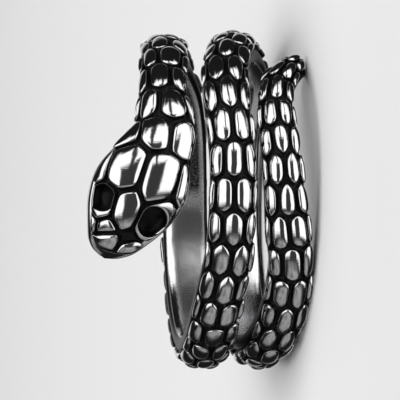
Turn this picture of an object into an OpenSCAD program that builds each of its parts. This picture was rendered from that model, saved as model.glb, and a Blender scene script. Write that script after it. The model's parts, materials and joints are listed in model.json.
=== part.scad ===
// A finger ring in the form of a snake wound round the finger, cast in one piece.
// The ring lies on its side with the tail's turn down. The path angle starts at the front, where the
// head lies, runs over the side of the neck to the back and round under it, and goes on past 360.

/* [Finger hole] */
// Diameter of the hole for the finger
bore_d = 19.8; // [16:0.2:23]

/* [Body] */
// Width of the body at the middle turn
body_w = 3.6; // [2.8:0.1:3.7]
// Thickness of the body over the finger
body_t = 2.4; // [1.8:0.1:3.5]
// Distance from one turn to the next, along the finger
turn_spacing = 3.95; // [3.9:0.05:6]

/* [Head] */
// Length of the head from the neck to the snout
head_l = 11.4; // [9:0.2:12]
// Width of the head across the temples
head_w = 7; // [5.5:0.1:7.5]
// Thickness of the head over the finger
head_t = 3.1; // [2.4:0.1:4.5]
// How far the head leans out of the turn, in degrees
head_lean = 23.3; // [10:0.1:28]
// Diameter of each eye socket
eye_d = 2.1; // [1.2:0.1:2.2]
// Depth of each eye socket
eye_depth = 0.9; // [0.4:0.1:1.4]

/* [Scales] */
// Width of the groove between scales
groove_w = 0.4; // [0.2:0.05:0.6]
// Depth of the groove between scales
groove_depth = 0.35; // [0.15:0.05:0.5]
// How far the middle of a scale rises over its rim
scale_crown = 0.12; // [0:0.02:0.3]

/* [Hidden] */

bore_r = bore_d / 2;
// Radius at which widths along the path are laid out
lay_r = bore_r + body_t;
degrees_per_mm = 180 / (PI * lay_r);
// Share of the thickness that is upright side wall, below the round of the back
wall_share = 0.34;
// Angle round the back at which the scales end, on each side
scale_edge_angle = 75;
// How far the side walls stand in from the full width
wall_inset = 0.16;
// How far the blank reaches into the finger hole before the hole is cut
hole_spare = 0.4;

// Where the head starts on the path, and the stretch over which the path eases from one row of a
// table to the next
neck_angle = 27;
neck_place = -1.09;
ease_angle = 7;
snout_angle = neck_angle - head_l * cos(head_lean) * degrees_per_mm;
snout_place = neck_place - head_l * sin(head_lean) / turn_spacing;

// Sideways course of the turns: [path angle, place as a share of turn_spacing, towards the tail]
COURSE = [
    [2 * snout_angle - neck_angle, 2 * snout_place - neck_place],
    [neck_angle, neck_place], [40, -1.165], [60, -1.045], [90, -0.9], [108, -0.78], [120, -0.64],
    [130, -0.47], [140, -0.37], [155, -0.275], [175, -0.24], [210, -0.24], [285, -0.22],
    [314, -0.17], [340, 0], [360, 0.04], [375, 0.055], [398, -0.005], [414, 0.01], [425, 0.11],
    [450, 0.39], [466, 0.6], [480, 0.81], [492, 0.83], [505, 0.76], [600, 0.79], [630, 0.81],
    [655, 0.93], [675, 1.07], [697, 1.11], [709, 1.02], [720, 0.98], [745, 0.88], [756, 0.86],
    [761, 0.88], [766, 0.925], [771, 1.01], [775, 1.11], [779, 1.24], [783, 1.42], [787, 1.62],
    [794, 2],
];
// Width and thickness of the body: [path angle, share of body_w, share of body_t]
GIRTH = [
    [neck_angle, 1.24, 1.07], [34, 1.15, 1.03], [42, 1.02, 1], [72, 1.02, 0.88], [115, 1.02, 0.88],
    [160, 1.02, 1], [314, 1.03, 1], [360, 0.98, 1], [450, 0.97, 1], [674, 0.98, 1], [697, 0.92, 1],
    [709, 0.96, 1], [733, 0.84, 0.96], [755, 0.78, 0.92], [767, 0.75, 0.9], [773, 0.68, 0.88],
    [778, 0.56, 0.84], [782, 0.42, 0.76], [785, 0.24, 0.68],
];
// Form of the head: [share of head_l from the neck, share of head_w, share of head_t]
HEAD_FORM = [
    [0, GIRTH[0][1] * body_w / head_w, GIRTH[0][2] * body_t / head_t], [0.14, 0.74, 0.9],
    [0.3, 0.89, 0.96], [0.44, 0.975, 1], [0.55, 0.955, 1], [0.665, 0.865, 0.98], [0.776, 0.71, 0.92],
    [0.88, 0.55, 0.82], [0.955, 0.42, 0.7], [1, 0.14, 0.6],
];
// Rows of scales along the body: [row number, path angle of its middle]
ROWS = [
    [-1, 21.5], [0, 34], [3, 71.5], [23, 306.3], [28, 361.2], [30, 386], [32, 411.5], [33, 423.7],
    [54, 663.4], [58, 709.3], [59, 720], [63, 761.8], [64, 773], [65, 780.5], [66, 785],
];
row_count = ROWS[len(ROWS) - 1][0];
// How far the tip of a scale reaches between its neighbours, as a share of a row
tip_reach = 0.12;
// How far the spots between scales stray, as a share of a row
uneven = 0.05;
tail_tip_angle = ROWS[len(ROWS) - 1][1];

// Columns of points on each side of the middle line, from it to the edge of the scales
side_columns = 3;
COLUMNS = [for (c = [-side_columns:side_columns]) c];
// On the first lines of the neck the columns stand wider and turned to the left. Each row of the
// table is a line from the head on, and holds the share across of each column, from right to left
NECK_LINES = [
    [-1, -0.62, -0.14, 0.23, 0.67, 0.92, 1], [-1, -0.6, -0.2, 0.15, 0.5, 0.78, 1],
    [-1, -0.55, -0.15, 0.2, 0.5, 0.78, 1], [-1, -0.55, -0.15, 0.2, 0.5, 0.78, 1],
    [-1, -0.6, -0.2, 0.15, 0.45, 0.75, 1], [-1, -0.63, -0.27, 0.08, 0.4, 0.7, 1],
];
// A rim stands at most this share of the way from a scale's corner to its middle
rim_most = 0.5;
// How far the shoulder rises over the straight line from rim to crown, as a share of scale_crown
shoulder_rise = 0.35;

// Spots of the head's plates: [name, share of head_l from the neck, share across from the middle
// line to the edge of the plates]. a is on the left half of the crown and snout, b on the right
// half, m near the middle line, and L and R along the edge of the plates.
HEAD_SPOTS = [
    ["m0", 0.26, 0.09], ["m1", 0.49, 0.04], ["m2", 0.775, 0.05], ["m3", 0.83, -0.07],
    ["m4", 0.915, -0.05], ["a0", 0.215, 0.4], ["a1", 0.305, 0.82], ["a2", 0.555, 0.34],
    ["a3", 0.52, 0.62], ["a4", 0.71, 0.33], ["a5", 0.85, 0.67], ["a6", 0.765, 0.66],
    ["b0", 0.205, -0.25], ["b1", 0.22, -0.6], ["b2", 0.565, -0.15], ["b3", 0.465, -0.57],
    ["b4", 0.725, -0.16], ["b5", 0.77, -0.42],
    ["L0", 0.12, 1], ["L1", 0.3, 0.97], ["L2", 0.44, 0.98], ["L3", 0.575, 1], ["L4", 0.66, 0.98],
    ["L5", 0.735, 0.94], ["L6", 0.855, 0.87], ["L7", 0.935, 0.6],
    ["R0", 0.05, -1], ["R1", 0.2, -0.95], ["R2", 0.34, -1], ["R3", 0.53, -1], ["R4", 0.65, -1],
    ["R5", 0.78, -0.8], ["R6", 0.86, -0.85], ["R7", 0.91, -0.55],
];
// Spots along each edge of the plates
edge_count = 8;
// Plates by the spots round them, n being the columns of the neck's first line
HEAD_PLATES = [
    ["n-1", "n0", "n1", "a0", "m0", "b0"], ["n1", "n2", "n3", "L0", "L1", "a1", "a0"],
    ["n-3", "n-2", "n-1", "b0", "b1", "R1", "R0"], ["m0", "a0", "a1", "a3", "a2", "m1"],
    ["m0", "m1", "b2", "b3", "b1", "b0"], ["a1", "L1", "L2", "L3", "a3"],
    ["b1", "b3", "R3", "R2", "R1"], ["m1", "a2", "a4", "m2", "b4", "b2"], ["a6", "L5", "L6", "a5"],
    ["a4", "a6", "a5", "m2"], ["m2", "a5", "L6", "L7", "m4", "m3"],
    ["m3", "m4", "R7", "R6", "R5", "b5"], ["m2", "m3", "b5", "b4"],
    ["a2", "a3", "L3", "L4", "L5", "a6", "a4"], ["b2", "b4", "b5", "R5", "R4", "R3", "b3"],
];
// Where each eye socket sits: [share of head_l, share across], and how far it faces aside
EYES = [[0.62, 0.55], [0.64, -0.43]];
eye_turn = 26;
// Towards the snout the wall under the plates reaches further than they do: [share of head_l at the
// edge of the plates, share of head_l at the wall]
WALL_REACH = [[0, 0], [0.8, 0.8], [0.935, 0.965]];

function row_angle(row) = lookup(row, ROWS);
function column_of(table, i) = [for (row = table) [row[0], row[i]]];
PLACE_AT = column_of(COURSE, 1);
BODY_W_AT = column_of(GIRTH, 1);
BODY_T_AT = column_of(GIRTH, 2);
HEAD_W_AT = column_of(HEAD_FORM, 1);
HEAD_T_AT = column_of(HEAD_FORM, 2);

// Height along the finger of the path's middle: a table eased by weighing three places of it
function place_z(a) = -turn_spacing * (lookup(a - ease_angle, PLACE_AT) + 2 * lookup(a, PLACE_AT)
    + lookup(a + ease_angle, PLACE_AT)) / 4;
function path_lean(a) = atan2(place_z(a + 1) - place_z(a - 1), 2 / degrees_per_mm);
function head_share(a) = (neck_angle - a) / (neck_angle - snout_angle);
function head_angle(share) = neck_angle - share * (neck_angle - snout_angle);
function half_width(a) = a < neck_angle
    ? head_w / 2 * lookup(head_share(a), HEAD_W_AT) : body_w / 2 * lookup(a, BODY_W_AT);
function thickness(a) = a < neck_angle
    ? head_t * lookup(head_share(a), HEAD_T_AT) : body_t * lookup(a, BODY_T_AT);

// A point at path angle a, distance b to the side of the path, and radius r from the finger's axis
function wrapped(a, b, r) = let (
        lean = path_lean(a),
        turn = a - b * sin(lean) * degrees_per_mm
    ) [r * sin(turn), -r * cos(turn), place_z(a) + b * cos(lean)];
// A point on the snake's back, q from -1 to 1 across the scales, raised over it by lift
function skin(a, q, lift) = let (t = thickness(a), s = q * scale_edge_angle)
    wrapped(a, (half_width(a) + lift) * sin(s),
        bore_r + wall_share * t + ((1 - wall_share) * t + lift) * cos(s));
// The side wall's upper corner, and its lower one inside the finger hole
function wall_top(a, side) = wrapped(a, side * (half_width(a) - wall_inset),
    bore_r + wall_share * thickness(a));
function wall_foot(a, side) = wrapped(a, side * (half_width(a) - wall_inset), bore_r - hole_spare);

// Lines between the rows. Each spot is [path angle, share across], in a zigzag along the line, and
// strays from it by sines that repeat after many lines only
function line_angle(k) = (row_angle(k - 1) + row_angle(k)) / 2;
function line_spot(k, c) = let (
        zigzag = (c + k) % 2 == 0 ? tip_reach : -tip_reach,
        stray = k > 0 ? uneven : 0,
        aside = abs(c) < side_columns ? stray / 2 : 0,
        share = k < len(NECK_LINES) ? NECK_LINES[k][c + side_columns] : c / side_columns
    ) [line_angle(k) + (row_angle(k) - row_angle(k - 1)) * (zigzag + stray * sin(166 * c + 116 * k)),
       share + aside * sin(304 * c + 276 * k)];
function line_points(k) = concat(
    [wall_foot(line_angle(k), -1), wall_top(line_angle(k), -1)],
    [for (c = COLUMNS) let (s = line_spot(k, c)) skin(s[0], s[1], -groove_depth)],
    [wall_top(line_angle(k), 1), wall_foot(line_angle(k), 1)]);
// A line holds the columns, and two corners of the side wall at each end
line_size = len(COLUMNS) + 4;
function on_line(k, j) = k * line_size + j;
function column_on_line(k, c) = on_line(k, c + side_columns + 2);

// Numbers of the head's points: its spots, then upper and lower corners of its walls. Step i of an
// edge is its spot i, the step before the first is the body's, and the one after the last the snout
head_first = (row_count + 1) * line_size;
SPOT_NAMES = concat([for (c = COLUMNS) str("n", c)], [for (s = HEAD_SPOTS) s[0]]);
function spot_id(name) = let (i = search([name], SPOT_NAMES)[0], columns = len(COLUMNS))
    i < columns ? on_line(0, i + 2) : head_first + i - columns;
function edge_name(i, side) = str(side > 0 ? "L" : "R", i);
function head_skin_id(i, side) = i < 0 ? column_on_line(0, side * side_columns)
    : spot_id(i == edge_count ? "m4" : edge_name(i, side));
walls_first = head_first + len(HEAD_SPOTS);
function head_wall_id(i, side, foot) = i < 0
    ? on_line(0, side > 0 ? line_size - 2 + foot : 1 - foot)
    : walls_first + (i == edge_count ? 4 * i : 4 * i + (side > 0 ? 0 : 2)) + foot;

function wall_angle(i, side) = let (spot = HEAD_SPOTS[spot_id(edge_name(i, side)) - head_first])
    head_angle(lookup(spot[1], WALL_REACH));
head_points = [for (s = HEAD_SPOTS) skin(head_angle(s[1]), s[2], -groove_depth)];
head_walls = concat(
    [for (i = [0:edge_count - 1], side = [1, -1]) let (a = wall_angle(i, side))
        each [wall_top(a, side), wall_foot(a, side)]],
    [wrapped(snout_angle, 0, bore_r + wall_share * thickness(snout_angle)),
     wrapped(snout_angle, 0, bore_r - hole_spare)]);
tail_tip = wrapped(tail_tip_angle, 0, bore_r + wall_share * thickness(tail_tip_angle) / 2);

// Every scale and plate: [point numbers round it, path angle and share across of its middle]
function spot_of(id) = id < head_first
    ? let (k = floor(id / line_size)) line_spot(k, id % line_size - side_columns - 2)
    : let (s = HEAD_SPOTS[id - head_first]) [head_angle(s[1]), s[2]];
function sum(list) = list * [for (v = list) 1];
function cell(ids) = let (n = len(ids), spots = [for (id = ids) spot_of(id)])
    [ids, sum([for (s = spots) s[0]]) / n, sum([for (s = spots) s[1]]) / n];
function body_cell(row, c) = let (lo = max(c - 1, -side_columns), hi = min(c + 1, side_columns))
    cell(concat([for (i = [lo:hi]) column_on_line(row, i)],
        [for (i = [hi:-1:lo]) column_on_line(row + 1, i)]));
body_cells = [for (row = [0:row_count - 1]) for (c = COLUMNS)
    if ((c + row) % 2 != 0) body_cell(row, c)];
// A head plate's points are put in the same turn as a body scale's
function area(spots) = let (n = len(spots))
    sum([for (i = [0:n - 1]) cross(spots[i], spots[(i + 1) % n])]) / 2;
function plate(names) = let (n = len(names), ids = [for (name = names) spot_id(name)])
    cell(area([for (id = ids) spot_of(id)]) > 0 ? [for (i = [n - 1:-1:0]) ids[i]] : ids);
cells = concat(body_cells, [for (names = HEAD_PLATES) plate(names)]);

// Points of a scale above its groove: a rim set in from the groove, a shoulder, and the crown
function cell_points(cell) = let (
        top = skin(cell[1], cell[2], 0),
        crown = skin(cell[1], cell[2], scale_crown),
        rim = [for (id = cell[0]) let (s = spot_of(id), p = skin(s[0], s[1], 0))
            p + (top - p) * min(rim_most, groove_w / norm(top - p))]
    ) concat(rim, [for (p = rim) (p + crown) / 2 + (crown - top) * shoulder_rise], [crown]);
cells_first = walls_first + len(head_walls) + 1;
tail_id = cells_first - 1;
cell_starts = [
    for (i = 0, n = cells_first; i < len(cells); n = n + 2 * len(cells[i][0]) + 1, i = i + 1) n];

function quad(a, b, c, d) = [[a, b, c], [a, c, d]];
function cell_faces(ids, start) = let (n = len(ids)) [
    for (i = [0:n - 1]) let (j = (i + 1) % n)
        each concat(quad(ids[i], ids[j], start + j, start + i),
            quad(start + i, start + j, start + n + j, start + n + i),
            [[start + n + i, start + n + j, start + 2 * n]])];

// Side walls and the face in the finger hole, along the body
wall_steps = [[0, 1], [1, 2], [line_size - 3, line_size - 2], [line_size - 2, line_size - 1],
    [line_size - 1, 0]];
body_walls = [for (k = [0:row_count - 1], w = wall_steps)
    each quad(on_line(k, w[0]), on_line(k, w[1]), on_line(k + 1, w[1]), on_line(k + 1, w[0]))];
tail_cap = [for (j = [0:line_size - 1])
    [on_line(row_count, j), on_line(row_count, (j + 1) % line_size), tail_id]];
// The same round the head. Step i goes from edge spot i - 1 to edge spot i, and the last to the snout
function head_wall_faces(i) = let (p = i - 1) concat(
    quad(head_skin_id(i, 1), head_wall_id(i, 1, 0), head_wall_id(p, 1, 0), head_skin_id(p, 1)),
    quad(head_wall_id(i, 1, 0), head_wall_id(i, 1, 1), head_wall_id(p, 1, 1), head_wall_id(p, 1, 0)),
    quad(head_wall_id(i, -1, 0), head_skin_id(i, -1), head_skin_id(p, -1), head_wall_id(p, -1, 0)),
    quad(head_wall_id(i, -1, 1), head_wall_id(i, -1, 0), head_wall_id(p, -1, 0),
        head_wall_id(p, -1, 1)));
head_wall_all = [for (i = [0:edge_count]) each head_wall_faces(i)];
head_floor = concat(
    [for (i = [0:edge_count - 1]) each quad(head_wall_id(i, 1, 1), head_wall_id(i, -1, 1),
        head_wall_id(i - 1, -1, 1), head_wall_id(i - 1, 1, 1))],
    [[head_wall_id(edge_count, 1, 1), head_wall_id(edge_count - 1, -1, 1),
      head_wall_id(edge_count - 1, 1, 1)]]);

points = concat([for (k = [0:row_count]) each line_points(k)], head_points, head_walls, [tail_tip],
    [for (cell = cells) each cell_points(cell)]);
faces = concat([for (i = [0:len(cells) - 1]) each cell_faces(cells[i][0], cell_starts[i])],
    body_walls, tail_cap, head_wall_all, head_floor);

// At rest the ring lies on its side, on the lowest spot in each of three sectors round the finger.
// Which way is up is worked out from those spots, and again with the spots that are lowest then.
REST_SECTORS = [[0, 120], [200, 270], [270, 360]];
rest_tries = 4;
function sector_of(p) = (atan2(p[0], -p[1]) + 360) % 360;
function lowest(list, up) = let (heights = [for (p = list) p * up])
    list[search(min(heights), heights)[0]];
sector_points = [for (s = REST_SECTORS)
    [for (p = points) let (at = sector_of(p)) if (at >= s[0] && at < s[1]) p]];
function rest_up(up, tries) = tries < 1 ? up : let (
        spots = [for (list = sector_points) lowest(list, up)],
        normal = cross(spots[1] - spots[0], spots[2] - spots[0])
    ) rest_up(normal * sign(normal[2]) / norm(normal), tries - 1);
up = rest_up([0, 0, 1], rest_tries);
rest_lean = acos(up[2]);
lean_axis = cross(up, [0, 0, 1]) / norm(cross(up, [0, 0, 1]));
function leaned(p) = p * cos(rest_lean) + cross(lean_axis, p) * sin(rest_lean)
    + lean_axis * (lean_axis * p) * (1 - cos(rest_lean));
leaned_points = [for (p = points) leaned(p)];
function low(i) = min([for (p = leaned_points) p[i]]);
function high(i) = max([for (p = leaned_points) p[i]]);
rest_shift = [-(low(0) + high(0)) / 2, -(low(1) + high(1)) / 2, -low(2)];

module snake_blank() {
    polyhedron(points = points, faces = faces, convexity = 10);
}

module finger_hole() {
    hole_l = 12 * turn_spacing;
    translate([0, 0, -hole_l / 2]) cylinder(h = hole_l, r = bore_r, $fn = 96);
}

module eye_socket(eye) {
    a = head_angle(eye[0]);
    floor_at = skin(a, eye[1], -eye_depth);
    translate(floor_at) rotate([0, 0, a]) rotate([90 - sign(eye[1]) * eye_turn, 0, 0])
        cylinder(h = 3 * eye_depth, d = eye_d, $fn = 32);
}

module snake_ring() {
    color("silver") translate(rest_shift) rotate(a = rest_lean, v = lean_axis) difference() {
        snake_blank();
        finger_hole();
        for (eye = EYES) eye_socket(eye);
    }
}

snake_ring();
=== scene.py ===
"""Looks of a snake wrap ring: one polished casting with blackened grooves, and a plain studio."""

import json
import math

import bmesh
import bpy
import numpy as np
from mathutils import Matrix, Vector


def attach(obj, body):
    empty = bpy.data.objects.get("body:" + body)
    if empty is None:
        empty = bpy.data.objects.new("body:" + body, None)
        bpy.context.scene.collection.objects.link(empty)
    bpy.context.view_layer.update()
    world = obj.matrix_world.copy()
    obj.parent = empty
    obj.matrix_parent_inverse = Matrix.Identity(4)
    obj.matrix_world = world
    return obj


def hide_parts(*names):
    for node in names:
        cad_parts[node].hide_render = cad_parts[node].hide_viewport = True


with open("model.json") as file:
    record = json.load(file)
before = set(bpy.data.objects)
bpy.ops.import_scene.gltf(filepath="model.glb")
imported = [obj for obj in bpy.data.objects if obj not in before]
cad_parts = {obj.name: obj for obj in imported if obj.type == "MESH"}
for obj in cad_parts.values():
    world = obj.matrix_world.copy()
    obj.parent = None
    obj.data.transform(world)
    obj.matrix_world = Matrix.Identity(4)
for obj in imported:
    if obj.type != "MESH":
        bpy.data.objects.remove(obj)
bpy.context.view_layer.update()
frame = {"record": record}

bl_info = {
    "name": "Snake Wrap Ring",
    "version": (1, 0, 0),
    "blender": (4, 5, 0),
    "location": "View3D > Sidebar > Snake Ring",
    "description": "Builds a scaled snake wound round a finger, its polished steel and a plain studio",
    "category": "Add Mesh",
}

MM = 0.001
# Points of two grids that lie this near are one
DOUBLE_WITHIN = 0.0005 * MM
FINGER_HOLE = frame["record"]["mounts"][0]
# How far the hole's mount lies above the path's zero height, along the hole
MOUNT_ALONG = 1.942 * MM
BORE_D = 2 * FINGER_HOLE["dims"]["r_mm"] * MM

# Sideways course of the turns: [path angle, place as a share of turn_spacing, towards the tail].
# The head's own course is put before it.
COURSE = [
    [40, -1.165], [60, -1.045], [90, -0.9], [108, -0.78], [120, -0.64], [130, -0.47], [140, -0.37],
    [155, -0.275], [175, -0.24], [210, -0.24], [285, -0.22], [314, -0.17], [340, 0], [360, 0.04],
    [375, 0.055], [398, -0.005], [414, 0.01], [425, 0.11], [450, 0.39], [466, 0.6], [480, 0.81],
    [492, 0.83], [505, 0.76], [525, 0.76], [600, 0.79], [630, 0.81], [655, 0.93], [675, 1.07],
    [697, 1.11], [709, 1.02], [720, 0.98], [745, 0.88], [756, 0.86], [761, 0.88], [766, 0.925],
    [771, 1.01], [775, 1.11], [779, 1.24], [783, 1.42], [787, 1.62], [794, 2],
]
NECK_ANGLE = 27
NECK_PLACE = -1.09
# How far to each side, in degrees of path, each table is eased, and by how many spots
COURSE_EASE = 12
WIDTH_EASE = 4
THICKNESS_EASE = 5
EASE_SPOTS = 15
# Width and thickness of the body: [path angle, share of body_w, share of body_t]
GIRTH = [
    [NECK_ANGLE, 1.24, 1.07], [34, 1.15, 1.03], [42, 1.02, 1], [72, 1.02, 0.88], [115, 1.02, 0.88],
    [160, 1.02, 1], [314, 1.03, 1], [360, 0.98, 1], [450, 0.97, 1], [674, 0.98, 1], [697, 0.92, 1],
    [709, 0.96, 1], [733, 0.84, 0.96], [755, 0.78, 0.92], [767, 0.75, 0.9], [773, 0.68, 0.88],
    [778, 0.56, 0.84], [782, 0.42, 0.76], [785, 0.24, 0.68],
]
# Form of the head: [share of head_l from the neck, share of head_w, share of head_t]
HEAD_FORM = [
    [0.14, 0.74, 0.9], [0.3, 0.89, 0.96], [0.44, 0.975, 1], [0.55, 0.955, 1], [0.665, 0.865, 0.98],
    [0.776, 0.71, 0.92], [0.88, 0.55, 0.82], [0.955, 0.42, 0.7], [1, 0.14, 0.6],
]
# The snout closes like a circle: its width is at most this times the root of what is left of it
SNOUT_ROUND = 1.8
# Rows of scales along the body: [row number, path angle of its middle]
ROWS = [
    [-1, 21.5], [0, 34], [3, 71.5], [23, 306.3], [28, 361.2], [30, 386], [32, 411.5], [33, 423.7],
    [54, 663.4], [58, 709.3], [59, 720], [63, 761.8], [64, 773], [65, 780.5], [66, 785],
]
# On the first lines of the neck the columns stand wider and turned to the left. Each row of the
# table is a line from the head on, and holds the share across of each column, from right to left
NECK_LINES = [
    [-1, -0.62, -0.14, 0.23, 0.67, 0.92, 1], [-1, -0.6, -0.2, 0.15, 0.5, 0.78, 1],
    [-1, -0.55, -0.15, 0.2, 0.5, 0.78, 1], [-1, -0.55, -0.15, 0.2, 0.5, 0.78, 1],
    [-1, -0.6, -0.2, 0.15, 0.45, 0.75, 1], [-1, -0.63, -0.27, 0.08, 0.4, 0.7, 1],
]
ROW_COUNT = ROWS[-1][0]
# How far the tip of a scale reaches between its neighbours, as a share of a row
TIP_REACH = 0.12
# How far the spots between scales stray: this share of a row along the body, and half the share across.
# Then the degrees of the sine that they stray by, for each column and each line, along and across.
UNEVEN = 0.05
STRAY_ALONG = (166, 116)
STRAY_ACROSS = (304, 276)
# Columns of scales on each side of the middle one
SIDE_COLUMNS = 3
# Share of the thickness that is upright side wall, and the angle round the back where scales end
WALL_SHARE = 0.34
SCALE_EDGE = 75

# Spots of the head's plates: (share of head_l from the neck, share across from its middle line).
# a is on the left half of the crown and snout, b on the right half, m near the middle line, and L
# and R along the plates' outer edge.
HEAD_SPOTS = {
    "m0": (0.26, 0.09), "m1": (0.49, 0.04), "m2": (0.775, 0.05), "m3": (0.83, -0.07),
    "m4": (0.915, -0.05), "a0": (0.215, 0.4), "a1": (0.305, 0.82), "a2": (0.555, 0.34),
    "a3": (0.52, 0.62), "a4": (0.71, 0.33), "a5": (0.85, 0.67), "a6": (0.765, 0.66),
    "b0": (0.205, -0.25), "b1": (0.22, -0.6), "b2": (0.565, -0.15), "b3": (0.465, -0.57),
    "b4": (0.725, -0.16), "b5": (0.77, -0.42),
    "L0": (0.12, 1), "L1": (0.3, 0.97), "L2": (0.44, 0.98), "L3": (0.575, 1), "L4": (0.66, 0.98),
    "L5": (0.735, 0.94), "L6": (0.855, 0.87), "L7": (0.935, 0.6),
    "R0": (0.05, -1), "R1": (0.2, -0.95), "R2": (0.34, -1), "R3": (0.53, -1), "R4": (0.65, -1),
    "R5": (0.78, -0.8), "R6": (0.86, -0.85), "R7": (0.91, -0.55),
}
# Plates by the spots round them, n being the columns of the neck's first line
HEAD_PLATES = [
    "n-1 n0 n1 a0 m0 b0", "n1 n2 n3 L0 L1 a1 a0", "n-3 n-2 n-1 b0 b1 R1 R0", "m0 a0 a1 a3 a2 m1",
    "m0 m1 b2 b3 b1 b0", "a1 L1 L2 L3 a3", "b1 b3 R3 R2 R1", "m1 a2 a4 m2 b4 b2", "a6 L5 L6 a5",
    "a4 a6 a5 m2", "m2 a5 L6 L7 m4 m3", "m3 m4 R7 R6 R5 b5",
]
# The snout's recessed plate, which is left black
DARK_PLATE = "m2 m3 b5 b4"
# Each eye: the spots round its plate, and the middle of its socket
EYES = [("a2 a3 L3 L4 L5 a6 a4", (0.605, 0.58)), ("b2 b4 b5 R5 R4 R3 b3", (0.64, -0.44))]
LEFT_EDGE = "n3 L0 L1 L2 L3 L4 L5 L6 L7 m4"
RIGHT_EDGE = "n-3 R0 R1 R2 R3 R4 R5 R6 R7 m4"
# Spots of each edge, from the snout on, that lie on the round of the snout
SNOUT_SPOTS = 2

# Points on one edge of a scale: along the body, across it, and round a plate of the head
ALONG_POINTS, ACROSS_POINTS, PLATE_POINTS = 7, 4, 7
# How a scale rises from the middle of its groove: [share of the way to the rim, share of the way
# from the rim to the middle, share of groove_depth below, share of scale_crown above, blackening]
SCALE_RINGS = np.array([
    [0, 0, 1, 0, 1], [0.42, 0, 1, 0, 1], [0.72, 0, 0.72, 0, 1], [0.9, 0, 0.3, 0, 0.8],
    [1, 0, 0.06, 0.02, 0.4], [1, 0.08, 0, 0.2, 0.15], [1, 0.2, 0, 0.44, 0.05], [1, 0.36, 0, 0.7, 0],
    [1, 0.56, 0, 0.89, 0], [1, 0.78, 0, 0.98, 0], [1, 1, 0, 1, 0],
])
# How many times a scale's outline is smoothed on its way to the rim, and the most that the rim moves
# in, as a share of the nearest it comes to the middle
RIM_PASSES = 4
RIM_MOST = 0.3
# How the scales differ, by the sine of each one's lot: the lot's radians for each degree of path and
# each share across, the share of the crown that comes and goes, and the slopes along and across, whose
# sines run some times faster
LOT_ALONG, LOT_ACROSS = 7.3, 31.7
CROWN_VARIES = 0.3
TILT_ALONG, TILT_ALONG_FASTER = 0.07, 2.3
TILT_ACROSS, TILT_ACROSS_FASTER = 0.09, 3.7
# The plate in the snout's recess is black all over
DARK_PLATE_BLACK = 0.75
# How an eye's plate runs on from its rim into the socket: [share of the way from the rim to the
# socket's mouth, share of the mouth's radius, share of eye_depth below, share of the lip's height
# above, blackening]
EYE_RINGS = np.array([
    [0.1, 1, 0, 0.5, 0.05], [0.25, 1, 0, 0.8, 0], [0.45, 1, 0, 0.95, 0], [0.65, 1, 0, 1, 0],
    [0.85, 1, 0, 0.95, 0], [0.95, 1, 0.02, 0.7, 0], [1, 1, 0.08, 0.2, 0.3], [1, 0.98, 0.2, 0, 0.9],
    [1, 0.95, 0.5, 0, 1], [1, 0.88, 0.9, 0, 1], [1, 0.6, 1, 0, 1], [1, 0, 1.04, 0, 1],
])
# Rings of a scale that an eye's plate shares, from the groove up to the rim, and the width of its
# groove as a share of the others'
GROOVE_RINGS = 5
EYE_GROOVE = 0.5
# The mouth of a socket takes at most this share of the way to the rim. The lip has its full height
# where it has this much room to the rim, and is black where it has hardly any.
MOUTH_MOST = 0.97
LIP_ROOM = 0.35 * MM
LIP_BLACK, LIP_BLACK_FADE = 0.7, 1.5
# Profile of the side from the scales down into the finger hole, where another turn lies beside it,
# where its edge is free and rounded off by wear, and on the head:
# [inset in mm from the outline, height as a share of the thickness, blackening]
BODY_SIDE = np.array([
    [0.25, 0.45, 1], [0.19, 0.41, 1], [0.16, 0.33, 1], [0.16, 0.24, 1], [0.18, 0.15, 1],
    [0.25, 0.07, 1], [0.36, 0.02, 0.9], [0.52, 0, 0.4],
])
FREE_SIDE = np.array([
    [0.25, 0.45, 1], [0.19, 0.41, 1], [0.16, 0.33, 1], [0.16, 0.24, 1], [0.18, 0.15, 1],
    [0.28, 0.09, 0.7], [0.55, 0.035, 0], [0.95, 0, 0],
])
HEAD_SIDE = np.array([
    [0.32, 0.6, 0.1], [0.22, 0.59, 0], [0.1, 0.55, 0], [0.02, 0.44, 0], [0, 0.3, 0],
    [0.04, 0.14, 0], [0.14, 0.04, 0], [0.3, 0, 0],
])
# Strips across the face in the finger hole
INNER_COLUMNS = 6
# The head's own side starts at one share of head_l and is whole after a stretch
HEAD_SIDE_FROM, HEAD_SIDE_EASE = 0.1, 0.35
# The left edge is free up to one path angle, where the head lies beside it, and the right edge from
# another on, a turn before the tail's tip
LEFT_FREE_TO = 325
RIGHT_FREE_FROM = 425
FREE_EASE = 20
# Half width below which the insets shrink with the tail
FULL_INSET_FROM = 1.2 * MM
# The step from the scales' edge to the side: share of the way down, and how much blackening the head
# loses there
EDGE_STEP = 0.2
HEAD_EDGE_CLEAN = 0.8
# Painted shade: black put on the face in the finger hole on the side that the neck runs over, where
# that face lies in shade between the turns. It rises from one sine of the path angle over a stretch, and
# ends at another, short of the uppermost spot.
PAINTED_SHADE_MOST = 0.64
SHADE_RISES_FROM, SHADE_RISE_EASE = -0.3, 0.4
SHADE_ENDS_AT, SHADE_END_EASE = 0.98, 0.15
# Blackening on the rings that close the tail's end
TAIL_END_BLACK = (0.6, 0.3, 0.1, 0, 0, 0)


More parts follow.
